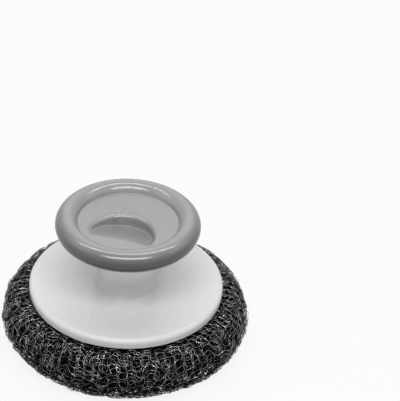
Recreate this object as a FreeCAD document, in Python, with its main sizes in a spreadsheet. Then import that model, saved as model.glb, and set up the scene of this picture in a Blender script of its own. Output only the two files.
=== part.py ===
import FreeCAD, Part
import math
import os
import re
import Sketcher

# A palm-held pot scrubber: a knitted wire pad under a moulded plate, a waisted neck and a dished knob.
# Millimetres, +Z up, origin at the middle of the scrubbing face. The finger scoop opens towards -Y.

# Driving sizes, in millimetres or degrees unless the name ends in share or count
SIZES = {
    # knitted pad
    "pad_radius": 49.0,
    "pad_lower_round": 10.4,
    "pad_upper_round": 10.2,
    "knit_thickness": 3.0,
    "pad_recess_depth": 7.5,
    "gather_mouth": 10.4,
    "gather_wire": 0.5,
    # plate, neck and flange of the handle
    "plate_radius": 38.0,
    "rim_height": 4.2,
    "rim_round": 1.6,
    "rim_lower_round": 0.5,
    "plate_dip": 2.1,
    "plate_wall": 1.7,
    "skirt_wall": 2.2,
    "neck_foot": 12.2,
    "foot_round": 1.6,
    "stem_height": 8.0,
    "neck_waist": 11.2,
    "flare_height": 16.35,
    "neck_wall": 2.0,
    "neck_core_draft": 1.1,
    "flange_thickness": 2.1,
    "flange_margin": 1.05,
    "flange_seat": 4.2,
    "web_rise": 2.0,
    "web_thickness": 3.0,
    "rib_thickness": 1.6,
    "rib_root_margin": 3.5,
    "rib_end_margin": 1.8,
    "rib_count": 8,
    # knob
    "knob_radius": 28.0,
    "knob_edge": 4.25,
    "bowl_depth": 0.95,
    "crest_flat": 0.25,
    "lip_round": 4.2,
    "lip_turn": 68.0,
    "corner_round": 0.9,
    "knob_lip": 1.2,
    "knob_wall": 2.3,
    "ceiling_rise": 1.4,
    "ledge_width": 2.2,
    "boss_radius": 4.4,
    "scoop_margin": 6.3,
    "scoop_oval_share": 1.14,
    "scoop_apex": 4.85,
    "scoop_depth": 5.05,
    "scoop_tilt": 18.4,
    "scoop_wall": 1.8,
    "scoop_front": 5.5,
    # screw that draws the knob down on the neck
    "screw_radius": 1.95,
    "screw_reserve": 9.65,
    "screw_point": 2.0,
    "screw_head_radius": 3.6,
    "screw_head_height": 2.4,
    "screw_head_bevel": 0.8,
    "driver_arm": 2.0,
    "driver_half_width": 0.45,
    "driver_depth": 1.2,
    # screw plug and washer that hold the pad
    "thread_radius": 6.0,
    "thread_length": 10.5,
    "socket_wall": 2.35,
    "plug_core": 4.0,
    "plug_flange": 12.6,
    "flange_plate": 3.3,
    "flange_round": 0.8,
    "grip_pocket": 10.4,
    "grip_pocket_count": 2,
    "grip_bar_half": 2.2,
    "grip_depth": 1.8,
    "washer_thickness": 0.8,
    "washer_band": 4.2,
    # clearances
    "soft_gap": 0.3,
    "seat_gap": 0.1,
    "running_gap": 0.05,
    "fit_gap": 0.15,
    "screw_gap": 0.25,
    "bore_gap": 0.4,
    "overrun": 10.0,
}

# Places worked out from the sizes
PLACES = {
    "pad_top": "pad_lower_round + pad_upper_round",
    "pad_recess": "plug_flange + 2 * bore_gap",
    "pad_bore": "socket_outer + bore_gap",
    "sleeve_floor": "pad_recess_depth + knit_thickness",
    "sleeve_ceiling": "pad_top - knit_thickness",
    "gather_radius": "gather_mouth - soft_gap - gather_wire",
    "plate_bottom": "pad_top + soft_gap",
    "rim_top": "plate_bottom + rim_height",
    "foot_height": "rim_top - plate_dip",
    "edge_middle": "knob_radius - knob_edge",
    "recess_radius": "edge_middle - knob_lip",
    "flange_radius": "recess_radius - fit_gap",
    "flange_mouth": "flange_radius - flange_seat",
    "curve_middle": "flange_radius - flange_margin",
    "neck_flare": "curve_middle - neck_waist",
    "neck_curve": "(flare_height * flare_height + neck_flare * neck_flare) / (2 * neck_flare)",
    "waist_height": "foot_height + stem_height",
    "flange_under": "waist_height + flare_height",
    "flange_top": "flange_under + flange_thickness",
    "core_curve": "neck_curve + neck_wall",
    "core_throat": "neck_waist + neck_curve - sqrt(core_curve * core_curve - flare_height * flare_height)",
    "core_waist": "neck_waist - neck_wall",
    "web_top": "foot_height + web_rise",
    "web_bottom": "web_top - web_thickness",
    "socket_inner": "thread_radius + running_gap",
    "socket_outer": "socket_inner + socket_wall",
    "socket_end": "pad_recess_depth + seat_gap",
    "skirt_inner": "plate_radius - skirt_wall",
    "plate_slope": "plate_dip / (plate_radius - neck_foot)",
    "under_outer": "rim_top - plate_slope * skirt_wall - plate_wall",
    "under_inner": "rim_top - plate_slope * (plate_radius - socket_outer) - plate_wall",
    "rib_end": "skirt_inner - rib_end_margin",
    "rib_bottom": "pad_top + soft_gap",
    "rib_root": "neck_foot + rib_root_margin",
    "rib_top_outer": "rim_top - plate_slope * (plate_radius - rib_end) - plate_wall / 2",
    "rib_top_inner": "rim_top - plate_slope * (plate_radius - rib_root) - plate_wall / 2",
    "equator": "flange_under + knob_edge",
    "crest": "equator + knob_edge",
    "crest_radius": "edge_middle - crest_flat",
    "wall_radius": "crest_radius - lip_round * sin(lip_turn)",
    "wall_height": "crest - lip_round * (1 - cos(lip_turn))",
    "dish_radius": "wall_radius - corner_round * sin(lip_turn)",
    "bowl_edge": "wall_height - corner_round * (1 - cos(lip_turn))",
    "bowl_floor": "bowl_edge - bowl_depth",
    "bowl_curve": "(dish_radius * dish_radius + bowl_depth * bowl_depth) / (2 * bowl_depth)",
    "ceiling": "bowl_floor - knob_wall",
    "ledge_radius": "recess_radius - ledge_width",
    "screw_grip": "ceiling - screw_reserve - web_top",
    "pilot_radius": "screw_radius + running_gap",
    "pilot_top": "web_top + screw_grip + seat_gap",
    "scoop_half_width": "dish_radius - scoop_margin",
    "scoop_reach": "scoop_half_width * scoop_oval_share",
    "scoop_slant": "scoop_reach / cos(scoop_tilt)",
    "scoop_offset": "scoop_reach - scoop_apex",
    "scoop_height": "bowl_floor - scoop_depth + scoop_reach * tan(scoop_tilt)",
    "scoop_pan": "scoop_half_width + scoop_wall",
    "pan_middle": "scoop_slant + scoop_wall - scoop_pan",
    "head_bottom": "web_bottom - screw_head_height",
    "plug_top": "socket_end + thread_length",
    "hub_radius": "socket_outer - fit_gap",
    "flange_face": "pad_recess_depth - washer_thickness - soft_gap",
    "plug_bottom": "flange_face - flange_plate",
    "washer_bottom": "flange_face + running_gap",
    "washer_bore": "hub_radius + fit_gap",
    "grip_reach": "sqrt(grip_pocket * grip_pocket - grip_bar_half * grip_bar_half)",
}

TURN = 360

doc = FreeCAD.newDocument("pot_scrubber")
sheet = doc.addObject("Spreadsheet::Sheet", "Sizes")
for row, (size, number) in enumerate(SIZES.items(), start=1):
    sheet.set(f"A{row}", size)
    sheet.set(f"B{row}", str(number))
    sheet.setAlias(f"B{row}", size)
doc.recompute()


def formula(text):
    """The expression for a rule: places are written out and sizes point at the sheet."""

    def swap(match):
        word = match.group(0)
        if word in PLACES:
            return "(" + formula(PLACES[word]) + ")"
        return "Sizes." + word if word in SIZES else word

    return re.sub(r"[a-z][a-z_]*", swap, text)


def number_of(text):
    """What a rule comes to at the sizes in the sheet."""
    return float(sheet.evalExpression(formula(text)))


def bind(thing, prop, text):
    thing.setExpression(prop, formula(text))


def new_body(name):
    body = doc.addObject("PartDesign::Body", name)
    body.Label = name
    return body


def origin_feature(body, role):
    return next(item for item in body.Origin.OriginFeatures if item.Role == role)


def new_sketch(body, name, plane):
    sketch = body.newObject("Sketcher::SketchObject", name)
    sketch.AttachmentSupport = (origin_feature(body, plane), [""])
    sketch.MapMode = "FlatFace"
    return sketch


def pin(sketch, geometry, point, across, up):
    """Ties a point of the sketch to two rules."""
    for kind, axis, text in (("DistanceX", -2, across), ("DistanceY", -1, up)):
        if text == "0":
            sketch.addConstraint(Sketcher.Constraint("PointOnObject", geometry, point, axis))
        else:
            index = sketch.addConstraint(Sketcher.Constraint(kind, geometry, point, number_of(text)))
            bind(sketch, f"Constraints[{index}]", text)


def arc_between(start, end, radius, left):
    """The short arc from start to end, with its middle on the left or the right of the way there."""
    chord = end - start
    toward = FreeCAD.Vector(-chord.y, chord.x, 0) if left else FreeCAD.Vector(chord.y, -chord.x, 0)
    toward.normalize()
    rise = math.sqrt(max(radius * radius - chord.Length * chord.Length / 4, 0))
    middle = (start + end) / 2 + toward * rise
    first, last = (start, end) if left else (end, start)
    angles = [math.atan2(p.y - middle.y, p.x - middle.x) for p in (first, last)]
    circle = Part.Circle(middle, FreeCAD.Vector(0, 0, 1), radius)
    return Part.ArcOfCircle(circle, *angles)


def outline(body, name, plane, corners):
    """A closed sketch of corners (across, up). An arc to the next one adds (radius, left or right)."""
    sketch = new_sketch(body, name, plane)
    points = [FreeCAD.Vector(number_of(c[0]), number_of(c[1]), 0) for c in corners]
    ends = []
    for i, corner in enumerate(corners):
        start, end = points[i], points[(i + 1) % len(points)]
        if len(corner) == 2:
            index = sketch.addGeometry(Part.LineSegment(start, end))
            ends.append((index, 1, 2))
            continue
        left = corner[3] == "left"
        index = sketch.addGeometry(arc_between(start, end, number_of(corner[2]), left))
        ends.append((index, 1, 2) if left else (index, 2, 1))
    for i, (index, first, last) in enumerate(ends):
        follower = ends[(i + 1) % len(ends)]
        sketch.addConstraint(Sketcher.Constraint("Coincident", index, last, follower[0], follower[1]))
    for (index, first, last), corner in zip(ends, corners):
        pin(sketch, index, first, corner[0], corner[1])
        if len(corner) == 4:
            radius = Sketcher.Constraint("Radius", index, number_of(corner[2]))
            bind(sketch, f"Constraints[{sketch.addConstraint(radius)}]", corner[2])
    return sketch


def arch(body, name, plane, across, along, front):
    """An ellipse about the sketch's origin, cut off by a straight front. Along is its longer half axis."""
    sketch = new_sketch(body, name, plane)
    tip = FreeCAD.Vector(0, number_of(along), 0)
    side = FreeCAD.Vector(-number_of(across), 0, 0)
    ellipse = Part.Ellipse(tip, side, FreeCAD.Vector(0, 0, 0))
    half_turn = math.acos(number_of(front) / number_of(along))
    curve = Part.ArcOfEllipse(ellipse, -half_turn, half_turn)
    index = sketch.addGeometry(curve)
    sketch.exposeInternalGeometry(index)
    long_axis, short_axis = index + 1, index + 2
    line = sketch.addGeometry(Part.LineSegment(curve.EndPoint, curve.StartPoint))
    sketch.addConstraint(Sketcher.Constraint("Coincident", index, 2, line, 1))
    sketch.addConstraint(Sketcher.Constraint("Coincident", line, 2, index, 1))
    sketch.addConstraint(Sketcher.Constraint("Coincident", index, 3, -1, 1))
    sketch.addConstraint(Sketcher.Constraint("PointOnObject", long_axis, 1, -2))
    sketch.addConstraint(Sketcher.Constraint("Horizontal", line))
    for axis, half in ((long_axis, along), (short_axis, across)):
        size = sketch.addConstraint(Sketcher.Constraint("Distance", axis, 2 * number_of(half)))
        bind(sketch, f"Constraints[{size}]", "2 * " + half)
    place = sketch.addConstraint(Sketcher.Constraint("DistanceY", line, 1, number_of(front)))
    bind(sketch, f"Constraints[{place}]", front)
    return sketch


def tilt(sketch, up):
    """Leans a sketch so that it climbs towards -Y, with its origin in front of the knob's axis."""
    lean = FreeCAD.Rotation(FreeCAD.Vector(-1, 0, 0), number_of("scoop_tilt"))
    sketch.AttachmentOffset = FreeCAD.Placement(FreeCAD.Vector(0, 0, 0), lean)
    bind(sketch, "AttachmentOffset.Rotation.Angle", "scoop_tilt")
    bind(sketch, "AttachmentOffset.Base.y", "-scoop_offset")
    bind(sketch, "AttachmentOffset.Base.z", up)


def spin(body, sketch, name, kind="Revolution"):
    """A full turn of a sketch about Z, added to the body or cut from it."""
    feature = body.newObject("PartDesign::" + kind, name)
    feature.Profile = sketch
    feature.ReferenceAxis = (sketch, ["V_Axis"])
    feature.Angle = TURN
    return feature


def extrude(body, sketch, name, length, kind="Pad", backwards=False, midplane=False, upright=False):
    """A sketch drawn out square to itself, or upright, to add to the body or cut from it."""
    feature = body.newObject("PartDesign::" + kind, name)
    feature.Profile = sketch
    bind(feature, "Length", length)
    feature.Reversed = backwards
    feature.Midplane = midplane
    if upright:
        feature.UseCustomVector = True
        feature.Direction = FreeCAD.Vector(0, 0, 1)
        feature.AlongSketchNormal = False
    return feature


def repeat(body, feature, name, count):
    pattern = body.newObject("PartDesign::PolarPattern", name)
    pattern.Originals = [feature]
    pattern.Axis = (origin_feature(body, "Z_Axis"), [""])
    pattern.Angle = TURN
    bind(pattern, "Occurrences", count)
    body.Tip = pattern
    return pattern


def round_ring(body, name, radius, up, size):
    """Rounds the circular edge of that radius at that height."""
    doc.recompute()
    base = body.Tip
    want = (number_of(radius), number_of(up))

    def miss(edge):
        if edge.Degenerated or not isinstance(edge.Curve, Part.Circle):
            return math.inf
        return math.hypot(edge.Curve.Radius - want[0], edge.Curve.Center.z - want[1])

    edges = base.Shape.Edges
    best = min(range(len(edges)), key=lambda i: miss(edges[i]))
    feature = body.newObject("PartDesign::Fillet", name)
    feature.Base = (base, [f"Edge{best + 1}"])
    bind(feature, "Radius", size)
    return feature


def expect_change(body, before, smaller):
    """Stops if a feature that should cut, or add, left the volume as it was."""
    doc.recompute()
    after = body.Shape.Volume
    if (after < before) != smaller or after == before:
        raise RuntimeError(f"{body.Label}: volume went from {before:.1f} to {after:.1f}")
    return after


def scourer_sleeve():
    """The outer knit: drawn over the filling, tucked into the recess below and gathered under the plate."""
    body = new_body("scourer_sleeve")
    profile = outline(body, "sleeve_profile", "XZ_Plane", [
        ("gather_mouth", "pad_top"),
        ("pad_radius - pad_upper_round", "pad_top", "pad_upper_round", "right"),
        ("pad_radius", "pad_lower_round", "pad_lower_round", "right"),
        ("pad_radius - pad_lower_round", "0"),
        ("pad_recess", "0"),
        ("pad_recess", "pad_recess_depth"),
        ("pad_bore", "pad_recess_depth"),
        ("pad_bore", "sleeve_floor"),
        ("pad_recess + knit_thickness", "sleeve_floor"),
        ("pad_recess + knit_thickness", "knit_thickness"),
        ("pad_radius - pad_lower_round", "knit_thickness", "pad_lower_round - knit_thickness", "left"),
        ("pad_radius - knit_thickness", "pad_lower_round", "pad_upper_round - knit_thickness", "left"),
        ("pad_radius - pad_upper_round", "sleeve_ceiling"),
        ("gather_mouth", "sleeve_ceiling"),
    ])
    spin(body, profile, "sleeve_turn")
    return body


def scourer_filling():
    """The folded knit inside the sleeve, a ring about the plug's socket."""
    body = new_body("scourer_filling")
    lower = "pad_lower_round - knit_thickness - soft_gap"
    upper = "pad_upper_round - knit_thickness - soft_gap"
    profile = outline(body, "filling_profile", "XZ_Plane", [
        ("pad_bore", "sleeve_ceiling - soft_gap"),
        ("pad_radius - pad_upper_round", "sleeve_ceiling - soft_gap", upper, "right"),
        ("pad_radius - knit_thickness - soft_gap", "pad_lower_round", lower, "right"),
        ("pad_radius - pad_lower_round", "knit_thickness + soft_gap"),
        ("pad_recess + knit_thickness + soft_gap", "knit_thickness + soft_gap"),
        ("pad_recess + knit_thickness + soft_gap", "sleeve_floor + soft_gap"),
        ("pad_bore", "sleeve_floor + soft_gap"),
    ])
    spin(body, profile, "filling_turn")
    return body


def gather_ring():
    """The wire that draws the sleeve's mouth together about the socket."""
    ring = doc.addObject("Part::Torus", "gather_ring")
    ring.Label = "gather_ring"
    bind(ring, "Radius1", "gather_radius")
    bind(ring, "Radius2", "gather_wire")
    bind(ring, "Placement.Base.z", "pad_top - gather_wire")
    return ring


def slip_washer():
    """The washer that lets the plug turn without dragging the knit round with it."""
    body = new_body("slip_washer")
    profile = outline(body, "washer_profile", "XZ_Plane", [
        ("washer_bore", "washer_bottom"),
        ("washer_bore + washer_band", "washer_bottom"),
        ("washer_bore + washer_band", "washer_bottom + washer_thickness"),
        ("washer_bore", "washer_bottom + washer_thickness"),
    ])
    spin(body, profile, "washer_turn")
    return body


def retaining_plug():
    """The hand-turned plug: a threaded hollow stem, a hub for the washer and a flange with a grip bar."""
    body = new_body("retaining_plug")
    profile = outline(body, "plug_profile", "XZ_Plane", [
        ("0", "plug_bottom"),
        ("plug_flange", "plug_bottom"),
        ("plug_flange", "flange_face"),
        ("hub_radius", "flange_face"),
        ("hub_radius", "pad_recess_depth"),
        ("thread_radius", "pad_recess_depth"),
        ("thread_radius", "plug_top"),
        ("plug_core", "plug_top"),
        ("plug_core", "flange_face"),
        ("0", "flange_face"),
    ])
    spin(body, profile, "plug_turn")
    round_ring(body, "flange_lower_round", "plug_flange", "plug_bottom", "flange_round")
    doc.recompute()
    volume = body.Shape.Volume
    pocket = outline(body, "grip_profile", "XY_Plane", [
        ("-grip_reach", "grip_bar_half"),
        ("grip_reach", "grip_bar_half", "grip_pocket", "left"),
    ])
    bind(pocket, "AttachmentOffset.Base.z", "plug_bottom")
    cut = extrude(body, pocket, "grip_pocket_cut", "grip_depth", "Pocket", backwards=True)
    volume = expect_change(body, volume, True)
    repeat(body, cut, "grip_pockets", "grip_pocket_count")
    expect_change(body, volume, True)
    return body


def handle_body():
    """Dished plate, waisted neck, top flange and plug socket in one moulding, hollow round its web."""
    body = new_body("handle_body")
    profile = outline(body, "handle_profile", "XZ_Plane", [
        ("socket_inner", "socket_end"),
        ("socket_outer", "socket_end"),
        ("socket_outer", "under_inner"),
        ("skirt_inner", "under_outer"),
        ("skirt_inner", "plate_bottom"),
        ("plate_radius", "plate_bottom"),
        ("plate_radius", "rim_top"),
        ("neck_foot", "foot_height"),
        ("neck_waist", "waist_height", "neck_curve", "right"),
        ("curve_middle", "flange_under"),
        ("flange_radius", "flange_under"),
        ("flange_radius", "flange_top"),
        ("flange_mouth", "flange_top"),
        ("core_throat", "flange_under", "core_curve", "left"),
        ("core_waist", "waist_height"),
        ("core_waist - neck_core_draft", "web_top"),
        ("screw_radius + screw_gap", "web_top"),
        ("screw_radius + screw_gap", "web_bottom"),
        ("socket_inner", "web_bottom"),
    ])
    spin(body, profile, "handle_turn")
    doc.recompute()
    volume = body.Shape.Volume
    rib_profile = outline(body, "rib_profile", "XZ_Plane", [
        ("rib_root", "rib_bottom"),
        ("rib_end", "rib_bottom"),
        ("rib_end", "rib_top_outer"),
        ("rib_root", "rib_top_inner"),
    ])
    rib = extrude(body, rib_profile, "rib", "rib_thickness", midplane=True)
    volume = expect_change(body, volume, False)
    repeat(body, rib, "ribs", "rib_count")
    expect_change(body, volume, False)
    round_ring(body, "rim_upper_edge", "plate_radius", "rim_top", "rim_round")
    round_ring(body, "rim_lower_edge", "plate_radius", "plate_bottom", "rim_lower_round")
    round_ring(body, "neck_foot_edge", "neck_foot", "foot_height", "foot_round")
    return body


def knob_screw():
    """The pan-head screw up through the web into the knob's boss."""
    body = new_body("knob_screw")
    profile = outline(body, "screw_profile", "XZ_Plane", [
        ("0", "head_bottom"),
        ("screw_head_radius - screw_head_bevel", "head_bottom", "screw_head_bevel", "left"),
        ("screw_head_radius", "head_bottom + screw_head_bevel"),
        ("screw_head_radius", "web_bottom"),
        ("screw_radius", "web_bottom"),
        ("screw_radius", "web_top + screw_grip - screw_point"),
        ("screw_radius - screw_point / 2", "web_top + screw_grip"),
        ("0", "web_top + screw_grip"),
    ])
    spin(body, profile, "screw_turn")
    doc.recompute()
    volume = body.Shape.Volume
    cross = outline(body, "driver_profile", "XY_Plane", [
        ("driver_half_width", "driver_half_width"),
        ("driver_half_width", "driver_arm"),
        ("-driver_half_width", "driver_arm"),
        ("-driver_half_width", "driver_half_width"),
        ("-driver_arm", "driver_half_width"),
        ("-driver_arm", "-driver_half_width"),
        ("-driver_half_width", "-driver_half_width"),
        ("-driver_half_width", "-driver_arm"),
        ("driver_half_width", "-driver_arm"),
        ("driver_half_width", "-driver_half_width"),
        ("driver_arm", "-driver_half_width"),
        ("driver_arm", "driver_half_width"),
    ])
    bind(cross, "AttachmentOffset.Base.z", "head_bottom")
    extrude(body, cross, "driver_recess", "driver_depth", "Pocket", backwards=True)
    expect_change(body, volume, True)
    return body


def knob_cap():
    """The dished knob with its half-moon finger scoop, rounded edge and long screw boss."""
    body = new_body("knob_cap")
    blank = outline(body, "knob_profile", "XZ_Plane", [
        ("0", "pilot_top"),
        ("pilot_radius", "pilot_top"),
        ("pilot_radius", "web_top"),
        ("boss_radius", "web_top"),
        ("boss_radius", "ceiling"),
        ("ledge_radius", "ceiling + ceiling_rise"),
        ("ledge_radius", "flange_top"),
        ("recess_radius", "flange_top"),
        ("recess_radius", "flange_under"),
        ("edge_middle", "flange_under", "knob_edge", "left"),
        ("knob_radius", "equator", "knob_edge", "left"),
        ("edge_middle", "crest"),
        ("0", "crest"),
    ])
    spin(body, blank, "knob_turn")
    doc.recompute()
    volume = body.Shape.Volume
    pan = outline(body, "scoop_pan_profile", "XY_Plane", [
        ("-scoop_pan", "scoop_wall - scoop_front"),
        ("scoop_pan", "scoop_wall - scoop_front"),
        ("scoop_pan", "pan_middle", "scoop_pan", "left"),
        ("0", "pan_middle + scoop_pan", "scoop_pan", "left"),
        ("-scoop_pan", "pan_middle"),
    ])
    tilt(pan, "scoop_height - scoop_wall / cos(scoop_tilt)")
    extrude(body, pan, "scoop_pan_pad", "scoop_depth + scoop_wall + knob_wall", upright=True)
    volume = expect_change(body, volume, False)
    dish = outline(body, "dish_profile", "XZ_Plane", [
        ("0", "bowl_floor", "bowl_curve", "left"),
        ("dish_radius", "bowl_edge", "corner_round", "left"),
        ("wall_radius", "wall_height", "lip_round", "right"),
        ("crest_radius", "crest"),
        ("crest_radius", "crest + overrun"),
        ("0", "crest + overrun"),
    ])
    spin(body, dish, "dish_cut", "Groove")
    volume = expect_change(body, volume, True)
    scoop = arch(body, "scoop_profile", "XY_Plane", "scoop_half_width", "scoop_slant", "-scoop_front")
    tilt(scoop, "scoop_height")
    extrude(body, scoop, "scoop_cut", "scoop_depth + overrun", "Pocket", upright=True)
    expect_change(body, volume, True)
    return body


def check(pieces):
    """Stops if anything in the document failed or a piece isn't one sound solid."""
    doc.recompute()
    failed = [item.Label for item in doc.Objects if {"Invalid", "Error"} & set(item.State)]
    if failed:
        raise RuntimeError("failed: " + ", ".join(failed))
    for piece in pieces:
        shape = piece.Shape
        if shape.isNull() or not shape.isValid() or len(shape.Solids) != 1:
            raise RuntimeError(f"{piece.Label} isn't one valid solid")
        box = shape.optimalBoundingBox()
        print(f"{piece.Label}: {shape.Volume:.0f} mm3, from {box.ZMin:.2f} up to {box.ZMax:.2f}")


def main():
    handle = (knob_cap, handle_body, knob_screw)
    head = (retaining_plug, slip_washer, scourer_sleeve, scourer_filling, gather_ring)
    pieces = [make() for make in handle + head]
    check(pieces)
    os.makedirs("parts", exist_ok=True)
    for piece in pieces:
        piece.Shape.exportStep(f"parts/{piece.Label}.step")


main()
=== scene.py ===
import math

import bpy
import numpy as np
from mathutils import Matrix, Vector


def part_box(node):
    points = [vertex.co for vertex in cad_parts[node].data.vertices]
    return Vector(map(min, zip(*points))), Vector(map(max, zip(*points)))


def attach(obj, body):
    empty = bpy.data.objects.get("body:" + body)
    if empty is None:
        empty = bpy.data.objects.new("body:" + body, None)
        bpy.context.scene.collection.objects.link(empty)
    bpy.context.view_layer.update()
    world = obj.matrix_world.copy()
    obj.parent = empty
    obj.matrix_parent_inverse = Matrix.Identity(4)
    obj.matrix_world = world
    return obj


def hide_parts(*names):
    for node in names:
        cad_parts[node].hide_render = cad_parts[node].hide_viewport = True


# A pot scrubber: satin grey knob, glossy white handle and a pad of knitted steel wire.
# Metres, in the frame of the solids: +Z up, the finger scoop opens towards -Y.

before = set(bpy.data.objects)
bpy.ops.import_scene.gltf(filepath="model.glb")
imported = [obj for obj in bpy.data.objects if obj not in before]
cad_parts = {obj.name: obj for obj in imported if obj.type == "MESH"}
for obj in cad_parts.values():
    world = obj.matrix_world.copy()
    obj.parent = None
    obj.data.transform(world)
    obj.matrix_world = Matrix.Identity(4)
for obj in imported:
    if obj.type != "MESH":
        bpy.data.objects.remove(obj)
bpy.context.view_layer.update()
rng = np.random.default_rng(11)

MM = 0.001
TURN = 2 * math.pi
TINY = 1e-9
EASE_REACH = 3


def top_of(node):
    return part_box(node)[1].z


def radius_of(node):
    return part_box(node)[1].x


# Meshes


def grid_faces(rows, columns, first=0, close_rows=False, close_columns=True):
    """Quads over a grid of points counted row by row."""
    r = np.arange(rows if close_rows else rows - 1)[:, None]
    c = np.arange(columns if close_columns else columns - 1)[None, :]
    r_next, c_next = (r + 1) % rows, (c + 1) % columns
    corners = [r * columns + c, r * columns + c_next, r_next * columns + c_next, r_next * columns + c]
    return np.stack(corners, -1).reshape(-1, 4) + first


def fan_faces(centre, ring):
    """Triangles from a centre point to a closed ring of points."""
    ring = np.asarray(ring)
    return np.stack([np.full(len(ring), centre), ring, np.roll(ring, -1)], -1)


def make_mesh(name, points, *face_sets):
    """A smooth-shaded object from points and arrays of triangles or quads."""
    mesh = bpy.data.meshes.new(name)
    points = np.ascontiguousarray(points, dtype=np.float32).reshape(-1, 3)
    corners = np.concatenate([faces.ravel() for faces in face_sets]).astype(np.int32)
    sides = np.concatenate([np.full(len(faces), faces.shape[1]) for faces in face_sets]).astype(np.int32)
    starts = np.concatenate([[0], np.cumsum(sides)[:-1]]).astype(np.int32)
    mesh.vertices.add(len(points))
    mesh.vertices.foreach_set("co", points.ravel())
    mesh.loops.add(len(corners))
    mesh.loops.foreach_set("vertex_index", corners)
    mesh.polygons.add(len(sides))
    mesh.polygons.foreach_set("loop_start", starts)
    mesh.update(calc_edges=True)
    mesh.validate()
    mesh.polygons.foreach_set("use_smooth", np.ones(len(mesh.polygons), dtype=bool))
    piece = bpy.data.objects.new(name, mesh)
    bpy.context.scene.collection.objects.link(piece)
    return piece


def finish_piece(piece, material, body, slot, *stands_for):
    piece.data.materials.append(material)
    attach(piece, body)
    if stands_for:
        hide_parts(*stands_for)


def smooth_line(line, spread):
    """A line of evenly spaced points with its corners eased, spread being in points. The ends stay."""
    reach = max(int(math.ceil(EASE_REACH * spread)), 1)
    weights = np.exp(-0.5 * (np.arange(-reach, reach + 1) / max(spread, TINY)) ** 2)
    weights /= weights.sum()
    before = 2 * line[0] - line[reach:0:-1]
    after = 2 * line[-1] - line[-2:-reach - 2:-1]
    padded = np.concatenate([before, line, after])
    return np.stack([np.convolve(padded[:, k], weights, "valid") for k in range(line.shape[1])], -1)


def even_line(line, count):
    """The same line with evenly spaced points, and its length."""
    steps = np.linalg.norm(np.diff(line, axis=0), axis=1)
    travel = np.concatenate([[0], np.cumsum(steps)])
    keep = np.concatenate([[True], steps > TINY])
    at = np.linspace(0, travel[-1], count)
    even = np.stack([np.interp(at, travel[keep], line[keep, k]) for k in range(line.shape[1])], -1)
    return even, travel[-1]


def arc_points(middle, radius, start, end, count):
    angles = np.radians(np.linspace(start, end, count))
    return np.stack([middle[0] + radius * np.cos(angles), middle[1] + radius * np.sin(angles)], -1)


# Materials: depths and heights in millimetres
GRAIN_DEPTH = 0.05
HOLLOW_DEPTH = 0.4
SCATTER_DEPTH = 2
# Heights from the pad's widest line over which painted shade darkens the wire
PAINTED_SHADE_BAND = (-2, 3)


class Nodes:
    """A material with a Principled shader and short ways to add nodes to it."""

    def __init__(self, name):
        self.material = bpy.data.materials.new(name)
        self.material.use_nodes = True
        self.tree = self.material.node_tree
        self.shader = self.tree.nodes["Principled BSDF"]
        self.place = self.add("ShaderNodeTexCoord").outputs["Object"]

    def add(self, kind, **settings):
        node = self.tree.nodes.new(kind)
        for key, value in settings.items():
            setattr(node, key, value)
        return node

    def link(self, source, target):
        self.tree.links.new(source, target)

    def set(self, **values):
        for key, value in values.items():
            self.shader.inputs[key.replace("_", " ")].default_value = value

    def noise(self, scale, detail=3.0, rough=0.55):
        node = self.add("ShaderNodeTexNoise")
        node.inputs["Scale"].default_value = scale
        node.inputs["Detail"].default_value = detail
        node.inputs["Roughness"].default_value = rough
        self.link(self.place, node.inputs["Vector"])
        return node.outputs["Fac"]

    def ramp(self, source, *stops):
        """Colours or grey levels at positions along a 0 to 1 value."""
        node = self.add("ShaderNodeValToRGB")
        elements = node.color_ramp.elements
        while len(elements) < len(stops):
            elements.new(0.5)
        for element, (at, colour) in zip(elements, stops):
            element.position = at
            element.color = (*colour, 1) if hasattr(colour, "__len__") else (colour, colour, colour, 1)
        self.link(source, node.inputs["Fac"])
        return node.outputs["Color"]

    def mix(self, kind, first, second):
        """Two colours multiplied or added."""
        node = self.add("ShaderNodeMix", data_type="RGBA", blend_type=kind)
        node.inputs["Factor"].default_value = 1.0
        self.link(first, node.inputs["A"])
        self.link(second, node.inputs["B"])
        return node.outputs["Result"]

    def share(self, source, low, high):
        """How far a value has come from low to high, from 0 to 1."""
        node = self.add("ShaderNodeMapRange")
        node.inputs["From Min"].default_value = low
        node.inputs["From Max"].default_value = high
        self.link(source, node.inputs["Value"])
        return node.outputs["Result"]

    def bump(self, source, strength, depth):
        node = self.add("ShaderNodeBump")
        node.inputs["Strength"].default_value = strength
        node.inputs["Distance"].default_value = depth
        self.link(source, node.inputs["Height"])
        self.link(node.outputs["Normal"], self.shader.inputs["Normal"])


def grey(level):
    return (level, level, level)


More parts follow.
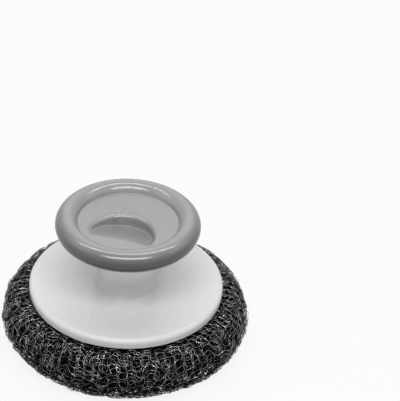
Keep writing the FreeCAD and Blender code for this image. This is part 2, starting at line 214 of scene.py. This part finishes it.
def knob_plastic():
    """Satin grey moulding with a fine moulded grain, and painted shade darkening it towards the underside of
    its edge.
    """
    m = Nodes("knob_plastic")
    tone = m.ramp(m.noise(90), (0.3, (0.285, 0.287, 0.29)), (0.7, (0.315, 0.317, 0.32)))
    apart = m.add("ShaderNodeSeparateXYZ")
    m.link(m.place, apart.inputs["Vector"])
    across = m.add("ShaderNodeCombineXYZ")
    m.link(apart.outputs["X"], across.inputs["X"])
    m.link(apart.outputs["Y"], across.inputs["Y"])
    radius = m.add("ShaderNodeVectorMath", operation="LENGTH")
    m.link(across.outputs["Vector"], radius.inputs[0])
    height = m.share(apart.outputs["Z"], (CREST - 2 * KNOB_EDGE) * MM, CREST * MM)
    inward = m.share(radius.outputs["Value"], EDGE_MIDDLE * MM, CREST_RADIUS * MM)
    top = m.add("ShaderNodeMath", operation="MAXIMUM")
    m.link(height, top.inputs[0])
    m.link(inward, top.inputs[1])
    # Painted shade: the base colour is darkened down the outer edge towards its underside, where shade falls.
    edge_shade_tones = ((0.15, 0.01), (0.32, 0.03), (0.58, 0.12), (0.74, 0.31), (0.92, 0.62), (1.0, 1.0))
    painted_edge_shade = m.ramp(top.outputs["Value"], *edge_shade_tones)
    m.link(m.mix("MULTIPLY", tone, painted_edge_shade), m.shader.inputs["Base Color"])
    m.link(m.ramp(m.noise(1400), (0.3, 0.2), (0.7, 0.25)), m.shader.inputs["Roughness"])
    m.bump(m.noise(2600, 2), 0.03, GRAIN_DEPTH * MM)
    m.set(Specular_IOR_Level=1.0)
    return m.material


def handle_plastic():
    """Glossy white moulding."""
    m = Nodes("handle_plastic")
    m.link(m.ramp(m.noise(60), (0.3, grey(0.86)), (0.7, grey(0.88))), m.shader.inputs["Base Color"])
    m.link(m.ramp(m.noise(1100), (0.3, 0.26), (0.7, 0.33)), m.shader.inputs["Roughness"])
    m.bump(m.noise(2200, 2), 0.02, GRAIN_DEPTH * MM)
    m.set(Subsurface_Weight=0.15, Subsurface_Radius=(1, 1, 1), Subsurface_Scale=SCATTER_DEPTH * MM)
    return m.material


def knit_wire(name, level):
    """Steel wire in a dark uneven tone, with painted shade darkening it low down and painted glints that are
    strongest there.
    """
    m = Nodes(name)
    m.set(Metallic=1.0)
    dark_tone = m.ramp(m.noise(300, 4), (0.35, grey(0.06 * level)), (0.6, grey(0.3 * level)))
    apart = m.add("ShaderNodeSeparateXYZ")
    m.link(m.place, apart.inputs["Vector"])
    # Painted shade: the wire's colour darkens towards the pad's bottom, where its reflections are darker.
    low, high = (PAD_LOWER_ROUND + step for step in PAINTED_SHADE_BAND)
    rise = m.share(apart.outputs["Z"], low * MM, high * MM)
    fade = m.ramp(rise, (0.0, 0.4), (1.0, 1.0))
    # Painted glints: bright specks added to the wire's colour, strongest low down.
    painted_glints = m.ramp(m.noise(560, 2), (0.58, grey(0.0)), (0.64, grey(1.0 * level)))
    painted_glints = m.mix("MULTIPLY", painted_glints, m.ramp(rise, (0.5, 1.0), (1.0, 0.45)))
    m.link(m.mix("ADD", m.mix("MULTIPLY", dark_tone, fade), painted_glints), m.shader.inputs["Base Color"])
    m.link(m.ramp(m.noise(900), (0.3, 0.12), (0.7, 0.25)), m.shader.inputs["Roughness"])
    return m.material


def knit_shade():
    """The deep of the pad, where the knit lies in its own shade."""
    m = Nodes("knit_shade")
    tone = m.ramp(m.noise(700, 5), (0.45, grey(0.0005)), (0.75, grey(0.003)))
    m.link(tone, m.shader.inputs["Base Color"])
    m.link(m.ramp(m.noise(500), (0.3, 0.7), (0.7, 0.9)), m.shader.inputs["Roughness"])
    m.set(Specular_IOR_Level=0.02)
    m.bump(m.noise(800, 3), 0.6, HOLLOW_DEPTH * MM)
    return m.material


def plain_steel():
    """Plain stainless steel."""
    m = Nodes("plain_steel")
    m.set(Metallic=1.0)
    m.link(m.ramp(m.noise(300), (0.3, grey(0.5)), (0.7, grey(0.6))), m.shader.inputs["Base Color"])
    m.link(m.ramp(m.noise(1500), (0.3, 0.22), (0.7, 0.36)), m.shader.inputs["Roughness"])
    return m.material


# Knob: sizes in millimetres, worked on in millimetres and scaled at the end
KNOB_RADIUS = radius_of("knob_cap") / MM
CREST = top_of("knob_cap") / MM
KNOB_EDGE = 4.25
CREST_FLAT = 0.25
LIP_ROUND = 4.2
LIP_TURN = math.radians(68)
CORNER_ROUND = 0.9
BOWL_DEPTH = 0.95
KNOB_LIP = 1.2
LEDGE_WIDTH = 2.2
FLANGE_TOP = top_of("handle_body") / MM
BOSS_RADIUS = 4.4
BOSS_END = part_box("knob_cap")[0].z / MM
PILOT_RADIUS = 2.0
PILOT_CLEARANCE = 0.1
PILOT_TOP = top_of("knob_screw") / MM + PILOT_CLEARANCE
CEILING_DROP = 2.3
CEILING_RISE = 1.4
SCOOP_MARGIN = 6.3
SCOOP_OVAL_SHARE = 1.14
SCOOP_APEX = 4.85
SCOOP_DEPTH = 5.05
SCOOP_TILT = math.radians(18.4)
SCOOP_WALL = 1.8
SCOOP_MIDDLE = -5.0
SCOOP_EDGE = 1.3
SCOOP_FILLET = 0.9
SCOOP_FRONT_EASE = 1.0
PATCH_INSET = 0.4
# Lengths of the scoop's section, before and after its wall, over which its easing and its points change
WALL_NEAR = 3.0
WALL_BLEND = 2.0
WALL_FULL = 1.5
WALL_HALF = 0.7
FOOT_BAND = 1.2
HEAD_BAND = 1.6
# Counts of points
KNOB_COLUMNS = 256
RAY_POINTS = 1200
RAY_PART = 300
WALL_POINTS = 200
RAY_ROWS = (18, 14, 6, 18, 14)
LIP_POINTS = 60
EDGE_POINTS = 181
OUTSIDE_ROWS = 120
CEILING_ROWS = 13

EDGE_MIDDLE = KNOB_RADIUS - KNOB_EDGE
CREST_RADIUS = EDGE_MIDDLE - CREST_FLAT
DISH_RADIUS = CREST_RADIUS - (LIP_ROUND + CORNER_ROUND) * math.sin(LIP_TURN)
BOWL_EDGE = CREST - (LIP_ROUND + CORNER_ROUND) * (1 - math.cos(LIP_TURN))
BOWL_FLOOR = BOWL_EDGE - BOWL_DEPTH
BOWL_CURVE = (DISH_RADIUS ** 2 + BOWL_DEPTH ** 2) / (2 * BOWL_DEPTH)
SCOOP_HALF_WIDTH = DISH_RADIUS - SCOOP_MARGIN
SCOOP_REACH = SCOOP_HALF_WIDTH * SCOOP_OVAL_SHARE
SCOOP_OFFSET = SCOOP_REACH - SCOOP_APEX
PATCH_RADIUS = DISH_RADIUS - PATCH_INSET


def bowl_height(x, y):
    return BOWL_FLOOR + BOWL_CURVE - np.sqrt(BOWL_CURVE ** 2 - x ** 2 - y ** 2)


def scoop_floor(y):
    return BOWL_FLOOR - SCOOP_DEPTH + (SCOOP_APEX - y) * math.tan(SCOOP_TILT)


def scoop_ray(towards):
    """The section of the scooped dish from inside the scoop out to a point of the lip."""
    way = towards - np.array([0, SCOOP_MIDDLE])
    length = np.linalg.norm(way)
    cos, sin = way / length
    ahead = SCOOP_MIDDLE + SCOOP_OFFSET
    a = (cos / SCOOP_HALF_WIDTH) ** 2 + (sin / SCOOP_REACH) ** 2
    b = ahead * sin / SCOOP_REACH ** 2
    c = (ahead / SCOOP_REACH) ** 2 - 1
    reach = min((math.sqrt(b * b - a * c) - b) / a, length)

    def dish(rho):
        return bowl_height(rho * cos, SCOOP_MIDDLE + rho * sin)

    inner = np.linspace(0, reach, RAY_PART)
    floor = np.minimum(scoop_floor(SCOOP_MIDDLE + inner * sin), dish(inner))
    wall = np.linspace(floor[-1], dish(reach), WALL_POINTS)
    outer = np.linspace(reach, length, RAY_PART)
    lines = [(inner, floor), (np.full(WALL_POINTS, reach), wall), (outer, dish(outer))]
    line = np.concatenate([np.stack(part, -1) for part in lines])
    foot = np.sum(np.hypot(np.diff(inner), np.diff(floor)))
    head = foot + wall[-1] - wall[0]
    even, travel = even_line(line, RAY_POINTS)
    step = travel / (RAY_POINTS - 1)
    at = np.arange(RAY_POINTS) * step
    tight, wide, soft = (smooth_line(even, s / step) for s in (SCOOP_FILLET, SCOOP_EDGE, SCOOP_FRONT_EASE))
    rise = np.clip((at - foot) / max(head - foot, TINY), 0, 1)[:, None]
    eased = tight * (1 - rise) + wide * rise
    near_wall = np.clip((at - foot + WALL_NEAR) / WALL_BLEND, 0, 1)[:, None]
    near_wall = near_wall * np.clip((head - foot) / WALL_FULL, 0, 1)
    eased = soft * (1 - near_wall) + eased * near_wall
    half = min(WALL_HALF, (head - foot) / 2)
    marks = [0, foot - FOOT_BAND, foot + half, head - half, head + HEAD_BAND, travel]
    marks = np.minimum(np.maximum.accumulate(np.maximum(marks, 0)), travel)
    spans = zip(marks, marks[1:], RAY_ROWS)
    spots = np.concatenate([np.linspace(p, q, n, endpoint=False) for p, q, n in spans])
    rho, z = (np.interp(np.append(spots, travel), at, eased[:, k]) for k in (0, 1))
    return np.stack([rho * cos, SCOOP_MIDDLE + rho * sin, z], -1)


def knob_outside():
    """Section of the turned part, from inside the lip over the crest and round to the recess below."""
    turn = math.degrees(LIP_TURN)
    rows = [
        np.array([[PATCH_RADIUS, bowl_height(PATCH_RADIUS, 0)]]),
        np.array([[DISH_RADIUS + CORNER_ROUND * math.tan(LIP_TURN / 2), BOWL_EDGE]]),
        arc_points((CREST_RADIUS, CREST - LIP_ROUND), LIP_ROUND, 90 + turn, 90, LIP_POINTS),
        arc_points((EDGE_MIDDLE, CREST - KNOB_EDGE), KNOB_EDGE, 90, -90, EDGE_POINTS),
        np.array([[EDGE_MIDDLE - KNOB_LIP, CREST - 2 * KNOB_EDGE]]),
    ]
    return even_line(np.concatenate(rows), OUTSIDE_ROWS)[0]


def knob_inside(angles):
    """Rings of the hidden side: recess, ledge, ceiling clear of the scoop, boss and pilot bore."""
    recess = EDGE_MIDDLE - KNOB_LIP
    ledge = recess - LEDGE_WIDTH
    ceiling = BOWL_FLOOR - CEILING_DROP
    slope = CEILING_RISE / (ledge - BOSS_RADIUS)
    rings = [(recess, FLANGE_TOP), (ledge, FLANGE_TOP)]
    rings += [(r, ceiling + slope * (r - BOSS_RADIUS)) for r in np.linspace(ledge, BOSS_RADIUS, CEILING_ROWS)]
    points = []
    for radius, height in rings:
        x, y = radius * np.cos(angles), radius * np.sin(angles)
        across, along = SCOOP_HALF_WIDTH + SCOOP_WALL, SCOOP_REACH + SCOOP_WALL
        below = (np.hypot(x / across, (y + SCOOP_OFFSET) / along) < 1) & (radius < ledge)
        z = np.where(below, np.minimum(height, scoop_floor(y) - SCOOP_WALL), height)
        points.append(np.stack([x, y, z], -1))
    for radius, height in ((BOSS_RADIUS, BOSS_END), (PILOT_RADIUS, BOSS_END), (PILOT_RADIUS, PILOT_TOP)):
        x, y = radius * np.cos(angles), radius * np.sin(angles)
        points.append(np.stack([x, y, np.full(len(angles), height)], -1))
    return np.array(points)


def build_knob():
    """The dished, scooped patch, the turned edge round it and the hidden side, as one closed mesh."""
    angles = np.arange(KNOB_COLUMNS) / KNOB_COLUMNS * TURN
    ends = PATCH_RADIUS * np.stack([np.cos(angles), np.sin(angles)], -1)
    patch = np.stack([scoop_ray(end) for end in ends], 1)
    middle = patch[0, :1]
    turned = knob_outside()[1:]
    outside = np.stack([turned[:, :1] * np.cos(angles), turned[:, :1] * np.sin(angles),
                        np.repeat(turned[:, 1:], KNOB_COLUMNS, 1)], -1)
    inside = knob_inside(angles)
    rows = np.concatenate([patch[1:], outside, inside])
    end_point = np.array([[0, 0, PILOT_TOP]])
    points = np.concatenate([middle, rows.reshape(-1, 3), end_point]) * MM
    count = len(rows)
    quads = grid_faces(count, KNOB_COLUMNS, first=1)[:, ::-1]
    first = 1 + np.arange(KNOB_COLUMNS)
    last = first + (count - 1) * KNOB_COLUMNS
    piece = make_mesh("knob", points, quads, fan_faces(0, first), fan_faces(len(points) - 1, last)[:, ::-1])
    finish_piece(piece, knob_plastic(), "handle", "knob_plastic", "knob_cap")


# Pad: sizes in millimetres
PAD_RADIUS = radius_of("scourer_sleeve") / MM
PAD_TOP = top_of("scourer_sleeve") / MM
PAD_LOWER_ROUND = 10.4
PAD_UPPER_ROUND = PAD_TOP - PAD_LOWER_ROUND
PAD_RECESS = 13.4
PAD_RECESS_DEPTH = 7.5
PAD_MOUTH = 10.4
PAD_BORE = 8.8
PLATE_RADIUS = 38.0
RECESS_ROUND = 1.6
MOUTH_MARGIN = 0.4
WIRE = 0.115
# Pleats: their spacing and depth, how far they follow the section, and the twist of each along it
NOTCH_COUNT = 34
NOTCH_SPACING = (0.6, 1.4)
NOTCH_DEPTH = (0.3, 1.4)
NOTCH_SHARPNESS = 7
NOTCH_TWIST = 0.012
SWELL_WAVES = (2, 15)
SWELL_SIZE = 0.12
SWELL_SHARE = 0.6
SWELL_TWIST = 0.04
PLEAT_REACH = 13
PLEAT_BASE = 0.25
CRUMPLE_COUNT = 12
CRUMPLE_WAVES = (16, 40)
CRUMPLE_TILT = 0.7
CRUMPLE_SIZE = 0.12
# Loops: shares of a loop's spacing and height, and how much each differs from the next
LOOP_KEPT = 0.5
LOOP_WIDTH, LOOP_WIDTH_SPREAD = 0.95, 0.25
LOOP_HEIGHT, LOOP_HEIGHT_SPREAD = 0.5, 0.1
ROW_WANDER = 0.5
LOOP_SHIFT = 0.6
LOOP_LEAN = 0.9
LOOP_SLIP = 0.7
LIFT_SPREAD = 0.15
# How far the loops' ends stand out, with more round the pad's edge
HEAD_RISE = 0.15
EDGE_RISE = 0.45
EDGE_RISE_MIDDLE = 2
EDGE_RISE_REACH = 6
# Where the layers of knit begin and end along the section, and the core painted near black as shade under
# them
EDGE_OVERLAP = 2
EDGE_REACH = 20
LAYER_GAP = 0.5
MOUTH_GAP = 1.5
BORE_GAP = 2
CORE_LIFT = -1.0
CORE_TOP_DROP = 2
# Counts of points
ROUND_POINTS = 60
RECESS_POINTS = 12
SECTION_POINTS = 2000
SECTION_EASE = 6
CORE_ROWS = 140
CORE_COLUMNS = 240


def pad_section():
    """The pad's section from the gathered mouth over the edge to the bore, with outward normals."""
    upper, lower = PAD_RADIUS - PAD_UPPER_ROUND, PAD_RADIUS - PAD_LOWER_ROUND
    line = np.concatenate([
        [[PAD_MOUTH + MOUTH_MARGIN, PAD_TOP]],
        arc_points((upper, PAD_LOWER_ROUND), PAD_UPPER_ROUND, 90, 0, ROUND_POINTS),
        arc_points((lower, PAD_LOWER_ROUND), PAD_LOWER_ROUND, 0, -90, ROUND_POINTS),
        arc_points((PAD_RECESS + RECESS_ROUND, RECESS_ROUND), RECESS_ROUND, -90, -180, RECESS_POINTS),
        [[PAD_RECESS, PAD_RECESS_DEPTH], [PAD_BORE, PAD_RECESS_DEPTH]],
    ])
    even, travel = even_line(line, SECTION_POINTS)
    even = smooth_line(even, SECTION_EASE)
    slope = np.gradient(even, axis=0)
    slope /= np.linalg.norm(slope, axis=1)[:, None]
    return np.linspace(0, travel, SECTION_POINTS), even, np.stack([-slope[:, 1], slope[:, 0]], -1)


ALONG, SECTION, OUTWARD = pad_section()
EQUATOR = ALONG[np.argmax(SECTION[:, 0])]
PAST_PLATE = np.where(SECTION[:, 1] < PAD_LOWER_ROUND, PAD_RADIUS, np.abs(SECTION[:, 0] - PLATE_RADIUS))
UNDER_PLATE = ALONG[np.argmin(PAST_PLATE)]
EDGE_START, EDGE_END = UNDER_PLATE - EDGE_OVERLAP, EQUATOR + EDGE_REACH
# Layers of knit: name, start and end along the section, rows, loops, points to a loop, loop height, lift
KNIT_LAYERS = (
    ("knit_edge_outer", EDGE_START, EDGE_END, 22, 44, 32, 5.6, -0.3),
    ("knit_edge_inner", EDGE_START, EDGE_END, 22, 46, 32, 5.6, -0.7),
    ("knit_top", MOUTH_GAP, EDGE_START - LAYER_GAP, 17, 36, 22, 3.0, -0.4),
    ("knit_below", EDGE_END + LAYER_GAP, ALONG[-1] - BORE_GAP, 16, 32, 28, 4.5, -0.3),
)
# The deep layer takes a copy of the wire darkened as painted shade.
SHADED_LAYER = "knit_edge_inner"


def pleat_marks():
    """Angles of the notches round the pad's edge, unevenly spaced."""
    gaps = rng.uniform(*NOTCH_SPACING, NOTCH_COUNT)
    return np.concatenate([[0], np.cumsum(gaps / gaps.sum())]) * TURN


NOTCHES = pleat_marks()
NOTCH_DEPTHS = rng.uniform(*NOTCH_DEPTH, len(NOTCHES))
NOTCH_DEPTHS[-1] = NOTCH_DEPTHS[0]
SWELLS = [(k, rng.uniform(0, TURN), rng.normal(0, SWELL_SIZE)) for k in range(*SWELL_WAVES)]
CRUMPLES = [(rng.integers(*CRUMPLE_WAVES), rng.uniform(-CRUMPLE_TILT, CRUMPLE_TILT),
             rng.uniform(0, TURN, 2), rng.normal(0, CRUMPLE_SIZE, 2)) for _ in range(CRUMPLE_COUNT)]


def pleats(angle, along):
    """How far the pleats and the uneven stuffing draw the surface in, in millimetres."""
    past = along - EQUATOR
    turned = (angle + NOTCH_TWIST * past) % TURN
    index = np.clip(np.searchsorted(NOTCHES, turned, side="right") - 1, 0, len(NOTCHES) - 2)
    left, right = NOTCHES[index], NOTCHES[index + 1]
    share = (turned - left) / (right - left)
    depth = NOTCH_DEPTHS[index] * np.exp(-share * NOTCH_SHARPNESS)
    depth = depth + NOTCH_DEPTHS[index + 1] * np.exp(-(1 - share) * NOTCH_SHARPNESS)
    swell = sum(size * np.sin(k * angle + phase + SWELL_TWIST * k * past) for k, phase, size in SWELLS)
    fade = np.exp(-(past / PLEAT_REACH) ** 2)
    return (depth + SWELL_SHARE * swell) * fade + PLEAT_BASE


def crumple(angle, along):
    """How far the knit is pushed round the pad and along its section, in millimetres."""
    push = [sum(sizes[i] * np.sin(k * angle + q * along + phases[i]) for k, q, phases, sizes in CRUMPLES)
            for i in (0, 1)]
    return push[0] / PAD_RADIUS, push[1]


def on_pad(angle, along, lift):
    """Points at an angle round the pad, a distance along its section and a height over its surface."""
    r, z = (np.interp(along, ALONG, SECTION[:, k]) for k in (0, 1))
    nr, nz = (np.interp(along, ALONG, OUTWARD[:, k]) for k in (0, 1))
    lift = lift - pleats(angle, along)
    r, z = r + nr * lift, z + nz * lift
    points = np.stack([r * np.cos(angle), r * np.sin(angle), np.maximum(z, WIRE)], -1)
    normals = np.stack([nr * np.cos(angle), nr * np.sin(angle), nz], -1)
    return points, normals


def wire_mesh(name, points, normals):
    """Closed three-sided wires along rows of points, as one mesh with a strip of its map for each wire."""
    wires, count = points.shape[:2]
    along = np.roll(points, -1, 1) - np.roll(points, 1, 1)
    along /= np.linalg.norm(along, axis=2)[:, :, None]
    side = np.cross(along, normals)
    side /= np.linalg.norm(side, axis=2)[:, :, None] + TINY
    up = np.cross(side, along)
    turns = np.radians([90, 210, 330])
    sides = len(turns)
    ring = np.cos(turns)[:, None] * side[:, :, None] + np.sin(turns)[:, None] * up[:, :, None]
    verts = points[:, :, None] + WIRE * ring
    firsts = np.arange(wires) * count * sides
    quads = grid_faces(count, sides, close_rows=True)[None] + firsts[:, None, None]
    piece = make_mesh(name, verts * MM, quads.reshape(-1, 4))
    strip = piece.data.uv_layers.new(name="OFBake")
    u = (np.arange(count)[:, None, None] + [0, 0, 1, 1]) / count
    v = (np.arange(sides)[:, None] + [0, 1, 1, 0]) / (sides + 1)
    wire = np.arange(wires)[:, None, None, None]
    spots = np.stack(np.broadcast_arrays(u, (wire + v) / wires), -1)
    strip.data.foreach_set("uv", spots.astype(np.float32).ravel())
    return piece


def uneven(rows, loops, t, spread, kept=LOOP_KEPT):
    """A value for each loop of each row, easing from loop to loop and partly kept from row to row."""
    values = rng.normal(0, spread, (rows, loops))
    for row in range(1, rows):
        values[row] = kept * values[row - 1] + math.sqrt(1 - kept * kept) * values[row]
    at = t / TURN
    low = np.floor(at).astype(int)
    share = at - low
    share = share * share * (3 - 2 * share)
    return values[:, low % loops] * (1 - share) + values[:, (low + 1) % loops] * share


def knit(name, start, end, rows, loops, samples, tall, lift):
    """Rows of knitted loops round the pad, each caught in the last, from start to end along its section."""
    t = np.arange(loops * samples) / samples * TURN
    middles = np.linspace(start, end, rows)[:, None]
    width = LOOP_WIDTH + uneven(rows, loops, t, LOOP_WIDTH_SPREAD)
    height = tall * (LOOP_HEIGHT + uneven(rows, loops, t, LOOP_HEIGHT_SPREAD))
    wander = np.cumsum(rng.normal(0, ROW_WANDER, (rows, 1)), 0)
    shift = uneven(rows, loops, t, LOOP_SHIFT) + wander
    lean = uneven(rows, loops, t, LOOP_LEAN)
    angle = (t + width * np.sin(2 * t) + shift + lean * np.cos(t)) / loops
    along = middles + height * np.cos(t) + uneven(rows, loops, t, LOOP_SLIP)
    push_round, push_along = crumple(angle, along)
    near_edge = np.clip(1 - np.abs(along - EQUATOR - EDGE_RISE_MIDDLE) / EDGE_RISE_REACH, 0, 1)
    heads = HEAD_RISE + EDGE_RISE * near_edge
    raised = lift + heads * np.cos(2 * t) + uneven(rows, loops, t, LIFT_SPREAD, kept=0)
    points, normals = on_pad(angle + push_round, along + push_along, raised)
    return wire_mesh(name, points, normals)


def build_pad():
    """Layers of wire loops over a core painted near black as shade, which stands for the sleeve and its
    filling.
    """
    # The second wire material is a darker copy, painted shade for the deep layer.
    bright, shaded_wire, shade = knit_wire("knit_wire", 1.0), knit_wire("knit_wire_painted_shade", 0.22), knit_shade()
    for layer in KNIT_LAYERS:
        wire = shaded_wire if layer[0] == SHADED_LAYER else bright
        finish_piece(knit(*layer), wire, "scourer_head", "wire_knit")
    angle = np.arange(CORE_COLUMNS) / CORE_COLUMNS * TURN
    along = np.linspace(ALONG[0], ALONG[-1], CORE_ROWS)[:, None]
    points, _ = on_pad(angle, np.broadcast_to(along, (CORE_ROWS, CORE_COLUMNS)), CORE_LIFT)
    inner = points[-1] * [1, 1, 0] + [0, 0, PAD_TOP - CORE_TOP_DROP]
    rows = np.concatenate([points, inner[None]])
    core = make_mesh("knit_core", rows * MM, grid_faces(len(rows), CORE_COLUMNS, close_rows=True))
    finish_piece(core, shade, "scourer_head", "wire_knit", "scourer_sleeve", "scourer_filling")


# Stage, light and camera
CAMERA_AZIMUTH = math.radians(17.2)
CAMERA_ELEVATION = math.radians(37.23)
CAMERA_ROLL = math.radians(1.64)
CAMERA_AIM = (math.radians(2.67), math.radians(2.80))
CAMERA_DISTANCE = 0.6
CAMERA_TARGET = Vector((0, 0, 0.028))
FOCAL_PIXELS = 1525.6
IMAGE_WIDTH = 400
LAMP_DISTANCE = 0.85
WORLD_LIGHT = 0.13
FLOOR_SIZE = 6
FLOOR_GREY = 0.9
FLOOR_ROUGHNESS = 0.9
FLOOR_GLOW = 0.88
# Lamps: name, turn from the camera's side, lean from straight above, size and watts
SOFTBOXES = (
    ("strip_rear", 180, 17, (1.1, 0.05), 2.7),
    ("strip_front", 0, 30, (0.8, 0.16), 3.6),
    ("box_left", 90, 52, (0.5, 0.5), 0.5),
    ("box_right", -90, 52, (0.5, 0.5), 0.45),
    ("box_rear", 180, 56, (0.6, 0.5), 0.5),
)


def swung(first, second, angle):
    """Two directions turned in their own plane, the first towards the second."""
    cos, sin = math.cos(angle), math.sin(angle)
    return first * cos + second * sin, second * cos - first * sin


def build_camera():
    """The fitted camera: its place round the object, then its aim and roll."""
    a, e = CAMERA_AZIMUTH, CAMERA_ELEVATION
    away = Vector((math.sin(a) * math.cos(e), -math.cos(a) * math.cos(e), math.sin(e)))
    forward = -away
    right = forward.cross(Vector((0, 0, 1))).normalized()
    up = right.cross(forward)
    forward, right = swung(forward, right, CAMERA_AIM[0])
    forward, up = swung(forward, up, CAMERA_AIM[1])
    right, up = swung(right, up, CAMERA_ROLL)
    data = bpy.data.cameras.new("camera")
    data.sensor_fit = "HORIZONTAL"
    data.lens = FOCAL_PIXELS * data.sensor_width / IMAGE_WIDTH
    camera = bpy.data.objects.new("camera", data)
    bpy.context.scene.collection.objects.link(camera)
    turn = Matrix((right, up, -forward)).transposed().to_4x4()
    camera.matrix_world = Matrix.Translation(CAMERA_TARGET + away * CAMERA_DISTANCE) @ turn
    bpy.context.scene.camera = camera


def softbox(name, turn, lean, size, watts):
    """A lamp aimed at the object, turned from the camera's side and leaning from straight above."""
    turn, lean = CAMERA_AZIMUTH + math.radians(turn), math.radians(lean)
    way = Vector((math.sin(turn) * math.sin(lean), -math.cos(turn) * math.sin(lean), math.cos(lean)))
    data = bpy.data.lights.new(name, "AREA")
    data.shape = "RECTANGLE"
    data.size, data.size_y = size
    data.energy = watts
    lamp = bpy.data.objects.new(name, data)
    bpy.context.scene.collection.objects.link(lamp)
    lamp.location = CAMERA_TARGET + way * LAMP_DISTANCE
    lamp.rotation_euler = (-way).to_track_quat("-Z", "Y").to_euler()


def seen_directly(tree):
    """1 for rays from the camera, mirrors and glass, and 0 for light on a surface."""
    rays = tree.nodes.new("ShaderNodeLightPath")
    total = rays.outputs["Is Camera Ray"]
    for kind in ("Is Glossy Ray", "Is Transmission Ray"):
        add = tree.nodes.new("ShaderNodeMath")
        add.operation = "MAXIMUM"
        tree.links.new(total, add.inputs[0])
        tree.links.new(rays.outputs[kind], add.inputs[1])
        total = add.outputs[0]
    return total


def build_stage():
    """White surroundings, a pale floor that keeps the shadow, and the lamps."""
    world = bpy.data.worlds.new("world")
    bpy.context.scene.world = world
    world.use_nodes = True
    tree = world.node_tree
    background = tree.nodes["Background"]
    background.inputs["Color"].default_value = (1, 1, 1, 1)
    mix = tree.nodes.new("ShaderNodeMapRange")
    mix.inputs["To Min"].default_value = WORLD_LIGHT
    mix.inputs["To Max"].default_value = 1.0
    tree.links.new(seen_directly(tree), mix.inputs["Value"])
    tree.links.new(mix.outputs["Result"], background.inputs["Strength"])

    bpy.ops.mesh.primitive_plane_add(size=FLOOR_SIZE)
    floor = bpy.context.object
    floor.name = "floor"
    pale = bpy.data.materials.new("pale_floor")
    pale.use_nodes = True
    tree = pale.node_tree
    shader = tree.nodes["Principled BSDF"]
    shader.inputs["Base Color"].default_value = (*grey(FLOOR_GREY), 1)
    shader.inputs["Roughness"].default_value = FLOOR_ROUGHNESS
    glow = tree.nodes.new("ShaderNodeEmission")
    blend = tree.nodes.new("ShaderNodeMixShader")
    share = tree.nodes.new("ShaderNodeMath")
    share.operation = "MULTIPLY"
    share.inputs[1].default_value = FLOOR_GLOW
    tree.links.new(seen_directly(tree), share.inputs[0])
    tree.links.new(share.outputs[0], blend.inputs["Fac"])
    tree.links.new(shader.outputs["BSDF"], blend.inputs[1])
    tree.links.new(glow.outputs["Emission"], blend.inputs[2])
    tree.links.new(blend.outputs["Shader"], tree.nodes["Material Output"].inputs["Surface"])
    floor.data.materials.append(pale)

    for name, turn, lean, size, watts in SOFTBOXES:
        softbox(name, turn, lean, size, watts)
    bpy.context.scene.view_settings.view_transform = "Standard"


def dress_solids():
    """Materials for the solids that show as they are."""
    white, steel = handle_plastic(), plain_steel()
    looks = {"handle_body": white, "retaining_plug": white, "knob_screw": steel, "slip_washer": steel,
             "gather_ring": steel}
    for node, material in looks.items():
        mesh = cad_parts[node].data
        mesh.materials.clear()
        mesh.materials.append(material)


build_knob()
build_pad()
dress_solids()
build_stage()
build_camera()
